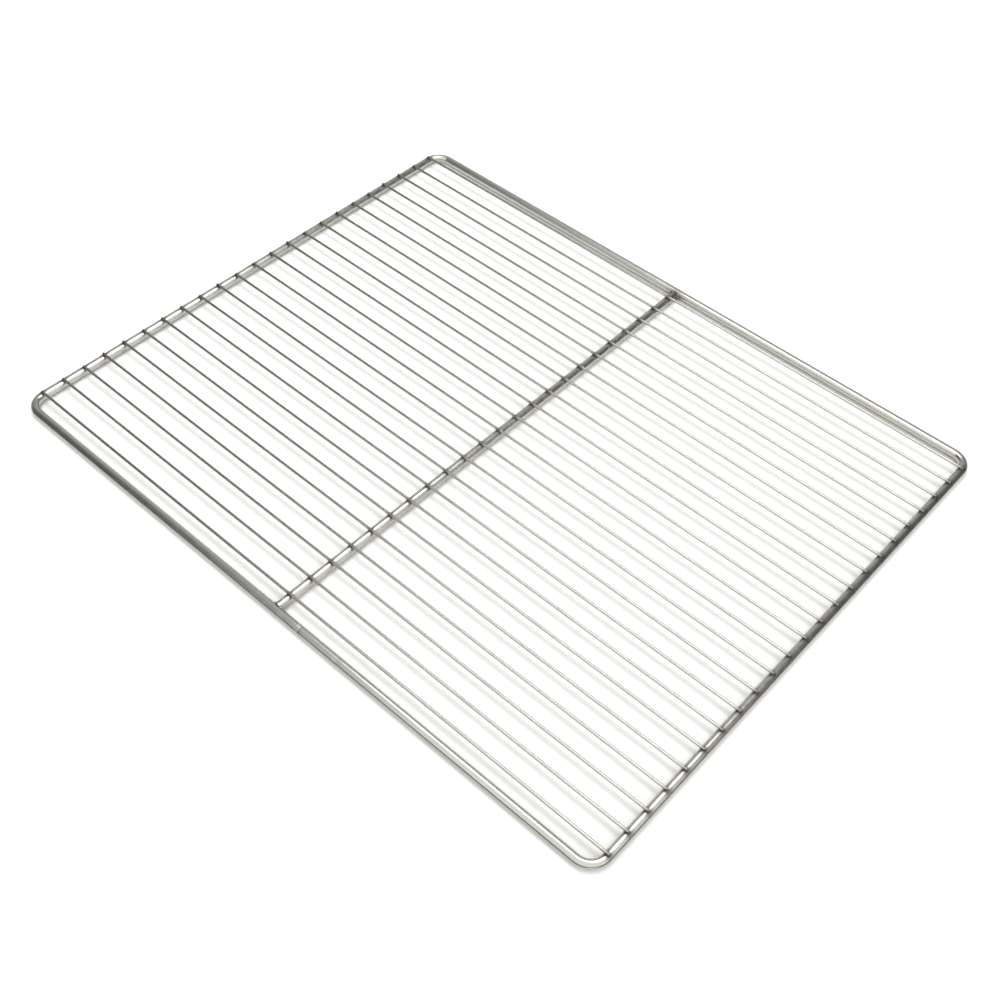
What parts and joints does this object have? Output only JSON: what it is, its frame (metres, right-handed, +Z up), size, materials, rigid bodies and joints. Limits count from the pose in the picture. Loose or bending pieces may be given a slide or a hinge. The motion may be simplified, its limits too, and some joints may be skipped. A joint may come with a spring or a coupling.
{
  "type": "cooling rack",
  "caption": "Flat welded wire cooling rack: round-rod perimeter frame with rounded corners, a cross brace, and long parallel wires laid across the top.",
  "frame": {"origin": "centre of the footprint, on the surface the rack lies on", "axes": "+X along the long sides and the wires, +Y along the short sides and the brace, +Z up"},
  "size_m": [0.65, 0.53, 0.0102],
  "materials": {
    "frame_rod": "drawn stainless rod, electropolished bright",
    "grid_wire": "drawn stainless wire, electropolished bright",
    "weld_metal": "stainless weld, cleaned and lightly polished"
  },
  "bodies": {
    "root": {"perimeter_frame": "frame_rod", "frame_butt_weld": "weld_metal", "centre_brace": "frame_rod", "brace_weld_front": "weld_metal", "brace_weld_rear": "weld_metal", "wire_01": "grid_wire", "wire_02": "grid_wire", "wire_03": "grid_wire", "wire_04": "grid_wire", "wire_05": "grid_wire", "wire_06": "grid_wire", "wire_07": "grid_wire", "wire_08": "grid_wire", "wire_09": "grid_wire", "wire_10": "grid_wire", "wire_11": "grid_wire", "wire_12": "grid_wire", "wire_13": "grid_wire", "wire_14": "grid_wire", "wire_15": "grid_wire", "wire_16": "grid_wire", "wire_17": "grid_wire", "wire_18": "grid_wire", "wire_19": "grid_wire", "wire_20": "grid_wire", "wire_21": "grid_wire", "wire_22": "grid_wire", "wire_23": "grid_wire"}
  },
  "joints": []
}
